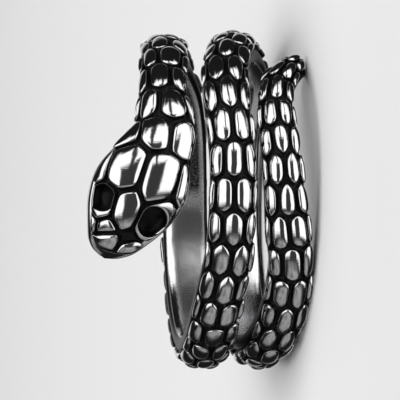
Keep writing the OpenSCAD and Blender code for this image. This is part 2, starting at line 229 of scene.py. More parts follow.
class Snake:
    """The snake's path round the finger and the surfaces laid along it, in metres and degrees."""

    def __init__(self, sizes):
        self.sizes = sizes
        self.bore_r = sizes.bore_d / 2
        self.degrees_per_m = math.degrees(1 / (self.bore_r + sizes.body_t))
        lean = sizes.head_lean
        self.snout_angle = NECK_ANGLE - sizes.head_l * math.cos(lean) * self.degrees_per_m
        snout_place = NECK_PLACE - sizes.head_l * math.sin(lean) / sizes.turn_spacing
        # The head's course runs on straight past the snout, to a spot as far again
        before = [2 * self.snout_angle - NECK_ANGLE, 2 * snout_place - NECK_PLACE]
        self.course = np.array([before, [NECK_ANGLE, NECK_PLACE], *COURSE])
        form = np.array(HEAD_FORM)[::-1]
        girth = np.array(GIRTH)
        self.form_angles = np.concatenate([self.head_angle(form[:, 0]), girth[:, 0]])
        self.half_widths = np.concatenate([form[:, 1] * sizes.head_w, girth[:, 1] * sizes.body_w]) / 2
        self.thicknesses = np.concatenate([form[:, 2] * sizes.head_t, girth[:, 2] * sizes.body_t])

    @staticmethod
    def eased(at, angles, values, reach):
        """A table's straight lines, each spot a mean over reach on both sides, weighted like a tent."""
        steps = np.linspace(-1, 1, EASE_SPOTS)
        weights = 1 - abs(steps)
        return np.interp(at[..., None] + steps * reach, angles, values) @ (weights / weights.sum())

    def head_angle(self, share):
        """Path angle of a share of the head's length from the neck."""
        return NECK_ANGLE - share * (NECK_ANGLE - self.snout_angle)

    def head_share(self, angle):
        """Share of the head's length from the neck at a path angle."""
        return (NECK_ANGLE - angle) / (NECK_ANGLE - self.snout_angle)

    def place(self, angle):
        """Height along the finger of the path's middle, which falls towards the tail: the eased course
        times the spacing of the turns."""
        course = self.eased(angle, self.course[:, 0], self.course[:, 1], COURSE_EASE)
        return -self.sizes.turn_spacing * course

    def lean(self, angle):
        """Slope of the path out of the plane of a turn, in radians: the arctangent of the height gained
        over two degrees to their length."""
        return np.arctan2(self.place(angle + 1) - self.place(angle - 1), 2 / self.degrees_per_m)

    def half_width(self, angle):
        """Half the body's or head's width: the table, closed like a circle at the snout."""
        left = np.clip(1 - self.head_share(angle), 0, None)
        closing = SNOUT_ROUND * np.sqrt(left) * self.sizes.head_w / 2
        return np.minimum(self.eased(angle, self.form_angles, self.half_widths, WIDTH_EASE), closing)

    def thickness(self, angle):
        """Thickness of the body or head over the finger."""
        return self.eased(angle, self.form_angles, self.thicknesses, THICKNESS_EASE)

    def wrapped(self, angle, aside, radius):
        """The spot at a path angle, at a radius and aside of the path, square to its lean: a circle's
        sine and cosine, raised along the finger."""
        lean = self.lean(angle)
        turn = np.radians(angle - aside * np.sin(lean) * self.degrees_per_m)
        height = self.place(angle) + aside * np.cos(lean)
        return np.stack([radius * np.sin(turn), -radius * np.cos(turn), height], -1)

    def skin(self, angle, across, lift):
        """The snake's back: half an ellipse over the path, its width the sine and its height the cosine
        of the share across."""
        thick = self.thickness(angle)
        round_angle = np.radians(across * SCALE_EDGE)
        aside = (self.half_width(angle) + lift) * np.sin(round_angle)
        rise = WALL_SHARE * thick + ((1 - WALL_SHARE) * thick + lift) * np.cos(round_angle)
        return self.wrapped(angle, aside, self.bore_r + rise)

    def stretch(self, angle, across):
        """Metres on the back for each degree of path and each share across, from small steps both ways."""
        still = np.zeros_like(angle)
        step = 0.02
        along = self.skin(angle + step, across, still) - self.skin(angle - step, across, still)
        over = self.skin(angle, across + step, still) - self.skin(angle, across - step, still)
        return np.stack([np.linalg.norm(along, axis=-1), np.linalg.norm(over, axis=-1)], -1) / (2 * step)

    def seen_from_above(self, angle, across):
        """Metres along and aside of a spot on the back: aside is the half width times the sine of the
        share across."""
        aside = self.half_width(angle) * np.sin(np.radians(across * SCALE_EDGE))
        return np.stack([angle / self.degrees_per_m, aside], -1)

    def laid_on_back(self, spots, lift):
        """Path angle and share across of lifted spots seen from above: the inverse of that sine, kept
        within the edges."""
        angle = spots[..., 0] * self.degrees_per_m
        sine = spots[..., 1] / (self.half_width(angle) + lift)
        edge = math.sin(math.radians(SCALE_EDGE))
        return angle, np.degrees(np.arcsin(np.clip(sine, -edge, edge))) / SCALE_EDGE


class Surfaces:
    """Gathers grids of points as one mesh's vertices and faces, with their black, painted shade included,
    and satin.
    """

    def __init__(self):
        self.points, self.black, self.satin, self.faces, self.count = [], [], [], [], 0

    def add_grid(self, points, black, closed, satin=0.0):
        """Adds grids of shape (grids, rows, columns, 3), with quads between neighbours, and round the
        columns if closed."""
        grids, rows, columns, _ = points.shape
        numbers = self.count + np.arange(grids * rows * columns).reshape(grids, rows, columns)
        after = np.roll(numbers, -1, 2) if closed else numbers[:, :, 1:]
        here = numbers if closed else numbers[:, :, :-1]
        quads = np.stack([here[:, :-1], after[:, :-1], after[:, 1:], here[:, 1:]], -1)
        self.points.append(points.reshape(-1, 3))
        self.black.append(np.broadcast_to(black, (grids, rows, columns)).reshape(-1))
        self.satin.append(np.broadcast_to(satin, (grids, rows, columns)).reshape(-1))
        self.faces.append(quads.reshape(-1, 4))
        self.count += points.size // 3

    def mesh(self, name, place):
        """One closed mesh: moved by place, doubles merged, faces turned outwards, shaded smooth."""
        mesh = bpy.data.meshes.new(name)
        points = np.concatenate(self.points) @ np.array(place.to_3x3()).T + np.array(place.translation)
        mesh.from_pydata(points, [], np.concatenate(self.faces))
        for label, values in (("blackening_and_shade", self.black), ("satin", self.satin)):
            layer = mesh.attributes.new(label, "FLOAT", "POINT")
            layer.data.foreach_set("value", np.concatenate(values).astype(np.float32))
        work = bmesh.new()
        work.from_mesh(mesh)
        bmesh.ops.remove_doubles(work, verts=work.verts, dist=DOUBLE_WITHIN)
        bmesh.ops.recalc_face_normals(work, faces=work.faces)
        work.to_mesh(mesh)
        work.free()
        mesh.shade_smooth()
        return mesh


def row_angle(row):
    """Path angle of a row's middle, straight between the table's rows."""
    rows = np.array(ROWS)
    return np.interp(row, rows[:, 0], rows[:, 1])


def stray_sine(degrees, column, line):
    """The sine that the stray of a spot follows, by its column and line."""
    return np.sin(np.radians(degrees[0] * column + degrees[1] * line))


def line_spots(line, column):
    """Spots on the zigzag lines between rows: (path angle, share across). Each lies halfway between two
    rows, moved to and fro by the tips' reach. It strays by a sine of its column and line, but not aside
    on the outer columns."""
    before, after = row_angle(line - 1), row_angle(line)
    sign = np.where((column + line) % 2 == 0, 1, -1)
    angle = (before + after) / 2 + sign * TIP_REACH * (after - before)
    neck = np.array(NECK_LINES)
    near = neck[np.clip(line, 0, len(neck) - 1), column + SIDE_COLUMNS]
    across = np.where(line < len(neck), near, column / SIDE_COLUMNS)
    stray = np.where(line > 0, UNEVEN, 0)
    angle = angle + (after - before) * stray * stray_sine(STRAY_ALONG, column, line)
    aside = np.where(abs(column) < SIDE_COLUMNS, stray / 2, 0)
    across = across + aside * stray_sine(STRAY_ACROSS, column, line)
    return np.stack([angle, across], -1)


def divided(corners, counts):
    """Points along closed outlines of corners (cells, corners, 2), each side cut into its count of
    steps."""
    after = np.roll(corners, -1, 1)
    sides = []
    for i, count in enumerate(counts):
        steps = (np.arange(count) / count)[:, None]
        sides.append(corners[:, i : i + 1] * (1 - steps) + after[:, i : i + 1] * steps)
    return np.concatenate(sides, 1)


def body_outlines():
    """Outlines of the body's scales in three sets: whole hexagons, and the halves along each edge. A row
    has scales on every second column, and the next row on the others."""
    across = np.arange(-SIDE_COLUMNS, SIDE_COLUMNS + 1)
    rows, columns = np.meshgrid(np.arange(ROW_COUNT), across, indexing="ij")
    taken = (rows + columns) % 2 != 0
    rows, columns = rows[taken], columns[taken]
    sets = []
    whole = abs(columns) < SIDE_COLUMNS
    right, left = columns == -SIDE_COLUMNS, columns == SIDE_COLUMNS
    for steps, chosen in (([-1, 0, 1], whole), ([0, 1], right), ([-1, 0], left)):
        row, column = rows[chosen], columns[chosen]
        near = [line_spots(row, column + step) for step in steps]
        far = [line_spots(row + 1, column + step) for step in reversed(steps)]
        counts = [ACROSS_POINTS] * (len(steps) - 1) + [ALONG_POINTS]
        sets.append(divided(np.stack(near + far, 1), counts * 2))
    return sets


def plate_corners(snake, names):
    """The corners of a plate of the head, from the names of its spots."""
    corners = []
    for name in names.split():
        if name[0] == "n":
            corners.append(line_spots(np.array(0), np.array(int(name[1:]))))
        else:
            share, across = HEAD_SPOTS[name]
            corners.append(np.array([snake.head_angle(share), across]))
    return np.array(corners)[None]


def plate_outline(snake, names):
    """A plate's outline. Along the neck its steps match the scales', elsewhere the other plates'."""
    on_neck = [name[0] == "n" for name in names.split()]
    after = on_neck[1:] + on_neck[:1]
    counts = [ACROSS_POINTS if here and there else PLATE_POINTS for here, there in zip(on_neck, after)]
    return divided(plate_corners(snake, names), counts)


def rim_of(edge, groove_w):
    """The rim inside an outline, both in metres round the middle: the outline with its corners rounded
    by a running mean, then moved inwards by half the groove's width."""
    soft = edge
    for _ in range(RIM_PASSES):
        soft = (np.roll(soft, 1, 1) + 2 * soft + np.roll(soft, -1, 1)) / 4
    run = np.roll(soft, -1, 1) - np.roll(soft, 1, 1)
    inwards = np.stack([-run[..., 1], run[..., 0]], -1)
    inwards *= -np.sign((inwards * soft).sum(-1, keepdims=True))
    inwards /= np.linalg.norm(inwards, axis=-1, keepdims=True)
    reach = np.linalg.norm(soft, axis=-1).min(1)
    return soft + inwards * np.minimum(groove_w / 2, RIM_MOST * reach)[:, None, None]


def add_scales(surfaces, snake, outline, crown, dark=0.0):
    """Scales as pillows: rings run from the groove's middle up over the rim and in to the middle, their
    heights given by the table of rings. Crown and tilt differ a little from scale to scale, by the
    sine of where each lies."""
    sizes = snake.sizes
    middle = outline.mean(1)
    stretch = snake.stretch(middle[:, 0], middle[:, 1])[:, None]
    edge = (outline - middle[:, None]) * stretch
    rim = rim_of(edge, sizes.groove_w)
    to_rim, to_middle, deep, high, black = SCALE_RINGS.T[:, None, :, None]
    around = edge[:, None] + (rim - edge)[:, None] * to_rim[..., None]
    around = around * (1 - to_middle[..., None])
    spots = around / stretch[:, None] + middle[:, None, None]
    lot = middle[:, :1, None] * LOT_ALONG + middle[:, 1:, None] * LOT_ACROSS
    crowns = crown * (1 + CROWN_VARIES * np.sin(lot))
    tilt_along = TILT_ALONG * around[..., 0] * np.sin(TILT_ALONG_FASTER * lot)
    tilt_across = TILT_ACROSS * around[..., 1] * np.sin(TILT_ACROSS_FASTER * lot)
    lift = crowns * high - sizes.groove_depth * deep + (tilt_along + tilt_across) * (1 - deep)
    points = snake.skin(spots[..., 0], spots[..., 1], lift)
    surfaces.add_grid(points, np.maximum(black, dark), closed=True)


def add_eye(surfaces, snake, names, spot):
    """An eye's plate: rings rise from the groove to the rim as on a scale, then run over a round lip and
    down into the socket. The rings are laid out as seen from above, so that the mouth is round there."""
    sizes = snake.sizes
    middle = snake.seen_from_above(np.array(snake.head_angle(spot[0])), spot[1])
    outline = plate_outline(snake, names)
    edge = snake.seen_from_above(outline[..., 0], outline[..., 1]) - middle
    rim = rim_of(edge, sizes.groove_w * EYE_GROOVE)
    to_rim, _, deep, high, black = SCALE_RINGS[:GROOVE_RINGS].T[:, None, :, None]
    plate = edge[:, None] + (rim - edge)[:, None] * to_rim[..., None]
    plate_lift = sizes.scale_crown * high - sizes.groove_depth * deep + 0 * plate[..., 0]
    across, radius, down, lip, dark = EYE_RINGS.T[:, None, :, None]
    reach = np.linalg.norm(rim, axis=-1, keepdims=True)
    mouth = np.minimum(sizes.eye_d / 2, MOUTH_MOST * reach)
    room = np.clip((reach - mouth) / LIP_ROOM, 0, 1)[:, None, :, 0]
    around = (rim + (rim / reach * mouth - rim)[:, None] * across[..., None]) * radius[..., None]
    socket_lift = sizes.eye_lip * lip * room - sizes.eye_depth * down
    lift = np.concatenate([plate_lift, socket_lift], 1)
    spots = np.concatenate([plate, around], 1) + middle
    angle, share = snake.laid_on_back(spots, np.minimum(lift, 0))
    socket_black = np.maximum(dark, LIP_BLACK - LIP_BLACK_FADE * room)
    black = np.concatenate([black + 0 * plate_lift, socket_black], 1)
    surfaces.add_grid(snake.skin(angle, share, lift), black, closed=True)


def edge_runs(snake, side):
    """Spots along the scales' outer edge on one side, from the snout to the tail, as (path angle, share
    across), and the outline beside them as path angles and metres aside. Round the snout the outline's
    angles follow the square of the way, so that its points lie evenly on the round."""
    head = plate_corners(snake, LEFT_EDGE if side > 0 else RIGHT_EDGE)[0][::-1]
    steps = np.arange(len(head) * PLATE_POINTS - PLATE_POINTS) / PLATE_POINTS
    lines = np.arange(ROW_COUNT + 1)
    tail = line_spots(lines, np.full_like(lines, side * SIDE_COLUMNS))
    tail_steps = np.arange(ROW_COUNT * ALONG_POINTS + 1) / ALONG_POINTS
    edge = np.concatenate([
        np.stack([np.interp(steps, np.arange(len(head)), head[:, i]) for i in (0, 1)], -1),
        np.stack([np.interp(tail_steps, lines, tail[:, i]) for i in (0, 1)], -1),
    ])
    round_at = head[SNOUT_SPOTS, 0]
    angle = edge[:, 0].copy()
    front = steps < SNOUT_SPOTS
    way = (steps[front] / SNOUT_SPOTS) ** 2
    angle[: len(steps)][front] = snake.snout_angle + (round_at - snake.snout_angle) * way
    return edge, angle, side * snake.half_width(angle)


def inwards_of(outline, side):
    """Unit steps square to an outline, towards the path's middle: its run turned a quarter. The snout's
    first point takes its run from the next one and its mirror image on the other side."""
    mirrored = outline[1:2] * [1, -1]
    run = np.gradient(np.concatenate([mirrored, outline]), axis=0)[1:]
    inwards = np.stack([-run[:, 1], run[:, 0]], -1) * -side
    return inwards / np.linalg.norm(inwards, axis=-1, keepdims=True)


def side_profile(snake, angle, side):
    """The side's profile at each path angle: the three tables, blended straight at the free edges' ends
    and smoothly at the neck. Returns it and the head's share of it."""
    head = np.clip((snake.head_share(angle) - HEAD_SIDE_FROM) / HEAD_SIDE_EASE, 0, 1)
    head = (head * head * (3 - 2 * head))[:, None, None]
    past = (LEFT_FREE_TO - angle) if side > 0 else (angle - RIGHT_FREE_FROM)
    free = np.clip(past / FREE_EASE, 0, 1)[:, None, None]
    body = BODY_SIDE * (1 - free) + FREE_SIDE * free
    return body * (1 - head) + HEAD_SIDE * head, head[:, 0]


def painted_shade_of_face(angle):
    """Painted shade on the face in the finger hole, as black, by the sine of the path angle."""
    side_share = np.sin(np.radians(angle))
    rising = np.clip((side_share - SHADE_RISES_FROM) / SHADE_RISE_EASE, 0, 1)
    ending = np.clip((SHADE_ENDS_AT - side_share) / SHADE_END_EASE, 0, 1)
    return rising * ending * PAINTED_SHADE_MOST


def side_wall(snake, side):
    """One side wall: a profile of insets and heights carried along the outline, under the scales' outer
    edge. The insets' directions are found with the snout's metres for each degree all along. Returns its
    points and blackening, and the path angle and metres aside of its lowest column."""
    edge, angle, aside = edge_runs(snake, side)
    per_degree = 1 / (snake.degrees_per_m * np.cos(snake.lean(angle)))
    inwards = inwards_of(np.stack([angle * per_degree[0], aside], -1), side)
    profile, head = side_profile(snake, angle, side)
    narrow = np.minimum(1, snake.half_width(angle) / FULL_INSET_FROM)[:, None]
    inset = profile[..., 0] * MM * narrow
    at = angle[:, None] + inwards[:, None, 0] * inset / per_degree[:, None]
    over = aside[:, None] + inwards[:, None, 1] * inset
    rise = profile[..., 1] * snake.thickness(angle)[:, None]
    wall = snake.wrapped(at, over, snake.bore_r + rise)
    sunk = np.full(len(edge), -snake.sizes.groove_depth)
    top = snake.skin(edge[:, 0], edge[:, 1], sunk)[:, None]
    between = top * (1 - EDGE_STEP) + wall[:, :1] * EDGE_STEP
    black = np.concatenate([np.ones_like(head), 1 - HEAD_EDGE_CLEAN * head, profile[..., 2]], 1)
    return np.concatenate([top, between, wall], 1), black, at[:, -1:], over[:, -1:]


def add_sides(surfaces, snake):
    """Both side walls and the face in the finger hole, whose rows run straight from one wall to the
    other. Returns the last section."""
    left, left_black, left_at, left_over = side_wall(snake, 1)
    right, right_black, right_at, right_over = side_wall(snake, -1)
    shares = (np.arange(1, INNER_COLUMNS) / INNER_COLUMNS)[None]
    at = left_at * (1 - shares) + right_at * shares
    over = left_over * (1 - shares) + right_over * shares
    inner = snake.wrapped(at, over, snake.bore_r + 0 * at)
    rounds = np.concatenate([left, inner, right[:, ::-1]], 1)
    # The face in the finger hole takes painted shade, as black, on the side that the neck runs over.
    black = np.concatenate([left_black, painted_shade_of_face(at), right_black[:, ::-1]], 1)
    satin = np.zeros(rounds.shape[1])
    satin[left.shape[1] - 1 : 1 - right.shape[1]] = 1
    surfaces.add_grid(rounds[None], black[None], closed=False, satin=satin)
    return rounds[-1]


def add_tail_end(surfaces, snake, last_round):
    """The tail's end: the last section shrinks like a ball's cosine while it moves on like its sine."""
    line = np.arange(-SIDE_COLUMNS, SIDE_COLUMNS + 1)
    corners = line_spots(np.full_like(line, ROW_COUNT), line)
    steps = np.arange(1, len(line) * ACROSS_POINTS - ACROSS_POINTS) / ACROSS_POINTS
    across = np.stack([np.interp(steps, np.arange(len(line)), corners[:, i]) for i in (0, 1)], -1)
    top = snake.skin(across[:, 0], across[:, 1], np.full(len(across), -snake.sizes.groove_depth))
    loop = np.concatenate([last_round, top])
    tip_angle = np.array(float(ROWS[-1][1]))
    tip = snake.wrapped(tip_angle, 0.0, snake.bore_r + WALL_SHARE * snake.thickness(tip_angle))
    middle = loop.mean(0)
    turn = np.linspace(0, math.pi / 2, len(TAIL_END_BLACK))[:, None, None]
    rings = middle + (loop - middle) * np.cos(turn) + (tip - middle) * np.sin(turn)
    surfaces.add_grid(rings[None], np.array(TAIL_END_BLACK)[:, None], closed=True)


def ring_place():
    """Turns and moves the snake's own frame to where the ring lies, from the finger hole's mount."""
    axis = Vector(FINGER_HOLE["axis"]).normalized()
    up = Vector((-axis.x, -axis.y, axis.z))
    turn = up.rotation_difference(Vector((0, 0, 1))).to_matrix().to_4x4()
    return Matrix.Translation(Vector(FINGER_HOLE["pos_m"]) - axis * MOUNT_ALONG) @ turn


# How the noise of the scratches is drawn out and turned, in radians
SCRATCH_STRETCH = (1, 0.25, 0.16)
SCRATCH_TURN = (0.5, 0.9, 0.3)
# The inside's own colour falls from whole to its least share between two values of a noise
PATCH_EDGES = (0.3, 0.7)
PATCH_LEAST = 0.55
# Least and most roughness under the scratches, as shares of the finish's own
GLOSS_SHARES = (0.6, 1.6)
# Specular level of the black
BLACK_SPECULAR = 0.12


def new_group(name, inputs, outputs):
    """A shader node group with named sockets. Inputs are (name, default), outputs names of values."""
    group = bpy.data.node_groups.new(name, "ShaderNodeTree")
    for label, value in inputs:
        socket = group.interface.new_socket(label, in_out="INPUT", socket_type="NodeSocketFloat")
        socket.default_value = value
    for label in outputs:
        group.interface.new_socket(label, in_out="OUTPUT", socket_type="NodeSocketFloat")
    return group, group.nodes.new("NodeGroupInput"), group.nodes.new("NodeGroupOutput")


def feed(links, socket, value):
    """Links an output to a socket, or sets the socket to a number or a colour."""
    if isinstance(value, bpy.types.NodeSocket):
        links.new(value, socket)
    else:
        socket.default_value = value


def math_node(nodes, links, operation, *values):
    """A Math node on numbers or outputs. Returns its output."""
    node = nodes.new("ShaderNodeMath")
    node.operation = operation
    for socket, value in zip(node.inputs, values):
        feed(links, socket, value)
    return node.outputs[0]


def mix_node(nodes, links, factor, first, second, data_type="FLOAT"):
    """A Mix node from first to second. Returns its output."""
    node = nodes.new("ShaderNodeMix")
    node.data_type = data_type
    for name, value in (("Factor", factor), ("A", first), ("B", second)):
        feed(links, node.inputs[name], value)
    return node.outputs["Result"]


def ramp_node(nodes, links, value, edges, low=0.0, high=1.0, smooth=False):
    """Goes from low to high as value goes from the first edge to the second. Returns its output."""
    node = nodes.new("ShaderNodeMapRange")
    node.interpolation_type = "SMOOTHSTEP" if smooth else "LINEAR"
    names = ("Value", "From Min", "From Max", "To Min", "To Max")
    for name, given in zip(names, (value, *edges, low, high)):
        feed(links, node.inputs[name], given)
    return node.outputs["Result"]


def noise_node(nodes, links, vector, scale, detail):
    """A Noise Texture. Returns its grey value."""
    node = nodes.new("ShaderNodeTexNoise")
    node.inputs["Detail"].default_value = detail
    feed(links, node.inputs["Vector"], vector)
    feed(links, node.inputs["Scale"], scale)
    return node.outputs["Fac"]


def attribute_node(nodes, name):
    """The mesh's own attribute of that name, as an output."""
    node = nodes.new("ShaderNodeAttribute")
    node.attribute_name = name
    return node.outputs["Fac"]


def placed_group(nodes, group):
    """A node that places a node group in a material."""
    node = nodes.new("ShaderNodeGroup")
    node.node_tree = group
    return node


def blackening_and_shade_group():
    """Mask of the black left in recesses and of the shade painted as black in the finger hole: how deep
    the spot lies or how much shade is painted there, roughened by noise and cut to an edge that is soft
    on both sides."""
    inputs = [("Grain", 9000), ("Spread", 0.25), ("Cut", 0.5), ("Softness", 0.18)]
    group, given, made = new_group("Blackening_and_shade", inputs, ["Mask"])
    nodes, links = group.nodes, group.links
    place = nodes.new("ShaderNodeTexCoord").outputs["Object"]
    grain = noise_node(nodes, links, place, given.outputs["Grain"], detail=2)
    centred = math_node(nodes, links, "SUBTRACT", grain, 0.5)
    uneven = math_node(nodes, links, "MULTIPLY", centred, given.outputs["Spread"])
    total = math_node(nodes, links, "ADD", attribute_node(nodes, "blackening_and_shade"), uneven)
    edges = [
        math_node(nodes, links, operation, given.outputs["Cut"], given.outputs["Softness"])
        for operation in ("SUBTRACT", "ADD")
    ]
    links.new(ramp_node(nodes, links, total, edges, smooth=True), made.inputs["Mask"])
    return group


def hand_polish_group():
    """Hand polish: a slow swell of the surface, and fine scratches that also scatter the gloss. The
    scratches are noise drawn out along slanted axes."""
    inputs = [("Swell scale", 700), ("Swell", 1), ("Scratch scale", 14000), ("Scratches", 0.1)]
    group, given, made = new_group("Hand polish", inputs, ["Height", "Gloss"])
    nodes, links = group.nodes, group.links
    place = nodes.new("ShaderNodeTexCoord").outputs["Object"]
    swell = noise_node(nodes, links, place, given.outputs["Swell scale"], detail=1.5)
    stretched = nodes.new("ShaderNodeMapping")
    stretched.inputs["Scale"].default_value = SCRATCH_STRETCH
    stretched.inputs["Rotation"].default_value = SCRATCH_TURN
    links.new(place, stretched.inputs["Vector"])
    scratch = noise_node(nodes, links, stretched.outputs[0], given.outputs["Scratch scale"], detail=3)
    high = math_node(nodes, links, "MULTIPLY", swell, given.outputs["Swell"])
    fine = math_node(nodes, links, "MULTIPLY", scratch, given.outputs["Scratches"])
    links.new(math_node(nodes, links, "ADD", high, fine), made.inputs["Height"])
    links.new(scratch, made.inputs["Gloss"])
    return group


def steel_material(finish):
    """Polished steel, black in the grooves and sockets, satin and worn in patches in the finger hole, with
    shade painted there as black on the neck's side and its colour painted lighter than the outer steel's.
    """
    material = bpy.data.materials.new("polished_steel")
    material.use_nodes = True
    nodes, links = material.node_tree.nodes, material.node_tree.links
    shader = nodes["Principled BSDF"]
    black = placed_group(nodes, blackening_and_shade_group()).outputs["Mask"]
    polish = placed_group(nodes, hand_polish_group())
    satin = attribute_node(nodes, "satin")

    place = nodes.new("ShaderNodeTexCoord").outputs["Object"]
    patches = noise_node(nodes, links, place, finish.worn_scale, detail=4)
    worn = ramp_node(nodes, links, patches, PATCH_EDGES, low=1, high=PATCH_LEAST)
    inside = math_node(nodes, links, "MULTIPLY", satin, worn)
    # The finger hole's colour is painted lighter than the outer steel's, to stand in for more light there.
    steel = mix_node(nodes, links, inside, (*finish.steel, 1), (*finish.inside, 1), "RGBA")
    # The black mask holds the blackened grooves and sockets and the painted shade in the finger hole.
    colour = mix_node(nodes, links, black, steel, (*finish.black, 1), "RGBA")
    links.new(colour, shader.inputs["Base Color"])
    links.new(math_node(nodes, links, "SUBTRACT", 1, black), shader.inputs["Metallic"])
    shader.inputs["Specular IOR Level"].default_value = BLACK_SPECULAR

    least, most = (finish.roughness * share for share in GLOSS_SHARES)
    gloss = ramp_node(nodes, links, polish.outputs["Gloss"], (0, 1), least, most)
    steel_rough = mix_node(nodes, links, satin, gloss, finish.satin_roughness)
    rough = mix_node(nodes, links, black, steel_rough, finish.black_roughness)
    links.new(rough, shader.inputs["Roughness"])

    bump = nodes.new("ShaderNodeBump")
    bump.inputs["Strength"].default_value = 1
    bump.inputs["Distance"].default_value = finish.swell_height
    links.new(polish.outputs["Height"], bump.inputs["Height"])
    links.new(bump.outputs["Normal"], shader.inputs["Normal"])
    return material


def size_prop(name, description, default):
    """A length that a user may change."""
    return bpy.props.FloatProperty(
        name=name, description=description, default=default, min=0, unit="LENGTH", precision=5
    )


def colour_prop(name, description, default):
    """A colour that a user may change."""
    return bpy.props.FloatVectorProperty(
        name=name, description=description, default=default, subtype="COLOR", min=0, max=1
    )


def share_prop(name, description, default):
    """A share from 0 to 1 that a user may change."""
    return bpy.props.FloatProperty(
        name=name, description=description, default=default, subtype="FACTOR", min=0, max=1
    )


def bright_prop(name, description, default):
    """A brightness that a user may change."""
    return bpy.props.FloatProperty(name=name, description=description, default=default, min=0)


class SnakeRingSizes(bpy.types.PropertyGroup):
    """Sizes of the casting."""

    bore_d: size_prop("Finger hole", "Diameter of the hole for the finger", BORE_D)
    body_w: size_prop("Body width", "Width of the body at the middle turn", 3.6 * MM)
    body_t: size_prop("Body thickness", "Thickness of the body over the finger", 2.4 * MM)
    turn_spacing: size_prop("Turn spacing", "Distance from one turn to the next", 3.95 * MM)
    head_l: size_prop("Head length", "Length of the head from the neck to the snout", 11.4 * MM)
    head_w: size_prop("Head width", "Width of the head across the temples", 7 * MM)
    head_t: size_prop("Head thickness", "Thickness of the head over the finger", 3.1 * MM)
    head_lean: bpy.props.FloatProperty(
        name="Head lean",
        description="How far the head leans out of the turn",
        default=math.radians(23.3),
        subtype="ANGLE",
    )
    eye_d: size_prop("Eye", "Diameter of each eye socket", 2.1 * MM)
    eye_depth: size_prop("Eye depth", "Depth of each eye socket", 0.9 * MM)
    eye_lip: size_prop("Eye lip", "Height of the lip round each socket", 0.06 * MM)
    groove_w: size_prop("Groove width", "Width of the groove between scales", 0.4 * MM)
    groove_depth: size_prop("Groove depth", "Depth of the groove between scales", 0.35 * MM)
    scale_crown: size_prop("Scale crown", "How far the middle of a scale rises over its rim", 0.14 * MM)


class SnakeRingFinish(bpy.types.PropertyGroup):
    """Finish of the steel."""

    steel: colour_prop("Steel", "Colour of the polished steel", (0.72, 0.72, 0.73))
    # The face in the finger hole is the same steel with satin roughness and worn patches; its colour,
    # lighter than the steel's, is painted light.
    inside: colour_prop("Inside", "Colour of the worn face in the finger hole", (0.8, 0.8, 0.81))
    worn_scale: bpy.props.FloatProperty(
        name="Worn patches",
        description="Patches of wear in the finger hole for each metre",
        default=900,
        min=0,
    )
    black: colour_prop("Black", "Colour of the black in the grooves", (0.006, 0.006, 0.007))
    roughness: share_prop("Roughness", "Roughness of the polish", 0.09)
    satin_roughness: share_prop("Satin roughness", "Roughness of the face in the finger hole", 0.26)
    black_roughness: share_prop("Black roughness", "Roughness of the blackened grooves", 0.35)
    swell_height: size_prop("Swell", "Height of the slow swell that hand polish leaves", 0.035 * MM)


class SnakeRingStudio(bpy.types.PropertyGroup):
    """The plain studio."""

    floor: colour_prop("Floor", "Colour of the floor", (0.9, 0.9, 0.9))
    light: bpy.props.FloatProperty(
        name="Light",
        description="Power of the soft light from above",
        default=0.55,
        min=0,
        unit="POWER",
    )
    panels: bright_prop("Panels", "Brightness of the white panels that the steel mirrors", 1.5)
    dark: bright_prop("Dark", "Brightness of the dark part of the studio", 0.05)


class SNAKERING_OT_casting(bpy.types.Operator):
    """Build the snake: scales, head plates, eye sockets, side walls and the face in the finger hole"""

    bl_idname = "snakering.casting"
    bl_label = "Snake casting"

    def execute(self, context):
        scene = context.scene
        snake = Snake(scene.snakering_sizes)
        surfaces = Surfaces()
        crown = snake.sizes.scale_crown
        for outline in body_outlines():
            add_scales(surfaces, snake, outline, crown)
        for names in HEAD_PLATES:
            add_scales(surfaces, snake, plate_outline(snake, names), crown)
        add_scales(surfaces, snake, plate_outline(snake, DARK_PLATE), 0, dark=DARK_PLATE_BLACK)
        for names, spot in EYES:
            add_eye(surfaces, snake, names, spot)
        add_tail_end(surfaces, snake, add_sides(surfaces, snake))
        casting = bpy.data.objects.new("snake_casting", surfaces.mesh("snake_casting", ring_place()))
        scene.collection.objects.link(casting)
        casting.data.materials.append(steel_material(scene.snakering_finish))
        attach(casting, "root")
        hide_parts("snake_ring")
        return {"FINISHED"}


# The photograph's view, in the ring's own frame: how far the camera stands, and how far it is turned
# towards the head's side of the ring
CAMERA_FAR = 260 * MM
CAMERA_TURN = math.radians(6.5)
# The picture's side and the focal length in pixels, the pixel on which the ring's zero point falls,
# and the width of the camera's sensor in millimetres
PICTURE_SIZE = 400
FOCAL_PIXELS = 3560
RING_AT_PIXEL = (213, 199.5)
SENSOR = 36
# The floor and the soft light, in metres
FLOOR_HALF = 1.5
FLOOR_ROUGHNESS = 0.9
LIGHT_SIZE = (0.4, 0.3)
LIGHT_AT = (0, 0.02, 0.3)
# Parts of the studio that the steel mirrors: where along a direction each starts and where it is
# whole. The picture's top lies towards x, the camera towards -y, and z points up from the floor.
FRONT_Y = (0.1, -0.15)
PANEL_ABOVE_Z, PANEL_BELOW_Z = (0.34, 0.44), (-0.38, -0.48)
PANELS_X = (-0.5, -0.2)
TOP_X, TOP_Y, TOP_SLIT_Z = (0.6, 0.72), (-0.1, -0.22), (0.05, 0.14)
BOTTOM_X, BOTTOM_Y, BOTTOM_Z = (-0.4, -0.7), (0.5, 0.12), (0.78, 0.5)
BOTTOM_BRIGHT, BOTTOM_MOTTLES = 0.7, 3.5
BEHIND_X, BEHIND_Y, BEHIND_BRIGHT = (-0.45, -0.1), (0.75, 0.97), 0.75
DARK_Y = (0.1, -0.4)
# Share of the dark part's brightness that is left behind the ring
DARKEST = 0.25
# Brightness of the backdrop itself
BACKDROP = 0.97


